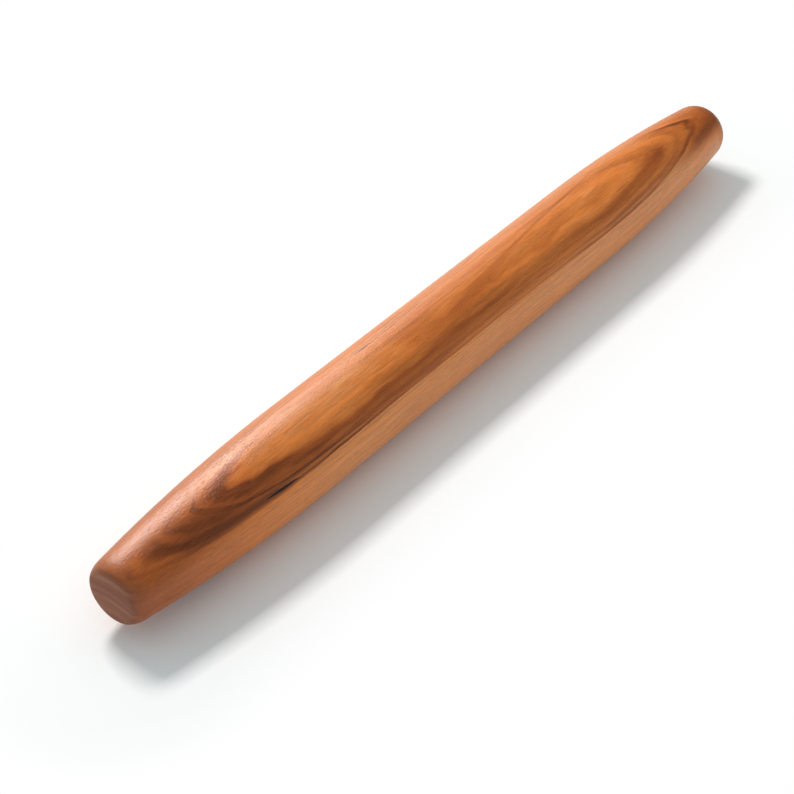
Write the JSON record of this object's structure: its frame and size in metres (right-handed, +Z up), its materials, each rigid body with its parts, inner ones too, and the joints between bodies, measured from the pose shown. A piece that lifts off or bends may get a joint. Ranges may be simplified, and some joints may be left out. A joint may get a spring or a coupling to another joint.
{
  "type": "french rolling pin",
  "caption": "Turned solid cherry rolling pin for pastry, with a straight barrel, long tapered ends and rounded end faces.",
  "frame": {"origin": "on the surface that the pin lies on, under the middle of its length", "axes": "+X along the pin's axis, +Z up"},
  "size_m": [0.51, 0.05, 0.0499],
  "materials": {
    "cherry_wood": "hand-rubbed food-safe oil, satin"
  },
  "bodies": {
    "root": {"rolling_pin": "cherry_wood"}
  },
  "joints": []
}
